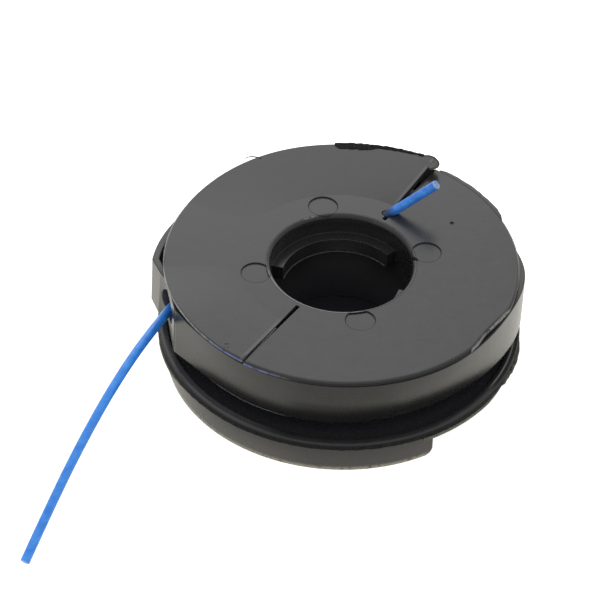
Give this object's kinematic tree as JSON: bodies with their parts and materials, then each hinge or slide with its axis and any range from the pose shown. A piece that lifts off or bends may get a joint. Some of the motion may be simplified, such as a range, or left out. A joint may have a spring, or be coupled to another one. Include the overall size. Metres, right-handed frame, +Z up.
{
  "type": "trimmer line spool",
  "caption": "Black plastic trimmer spool with a slit upper flange, a keeper band round the winding, a drive bore with lugs, and blue cutting line with its free end drawn out.",
  "frame": {"origin": "on the axis of the bore, at the level of the skirt's lower edge that the spool stands on", "axes": "+Z up along the bore axis towards the slit flange, -Y towards the viewer of the picture, +X to that viewer's right"},
  "size_m": [0.0755, 0.0804, 0.0253],
  "materials": {
    "spool_plastic": "satin black moulding",
    "band_plastic": "satin black strip",
    "line_nylon": "smooth blue filament"
  },
  "bodies": {
    "root": {"spool": "spool_plastic", "line_band": "band_plastic", "wound_line": "line_nylon", "line_start": "line_nylon", "line_tail": "line_nylon"}
  },
  "joints": []
}
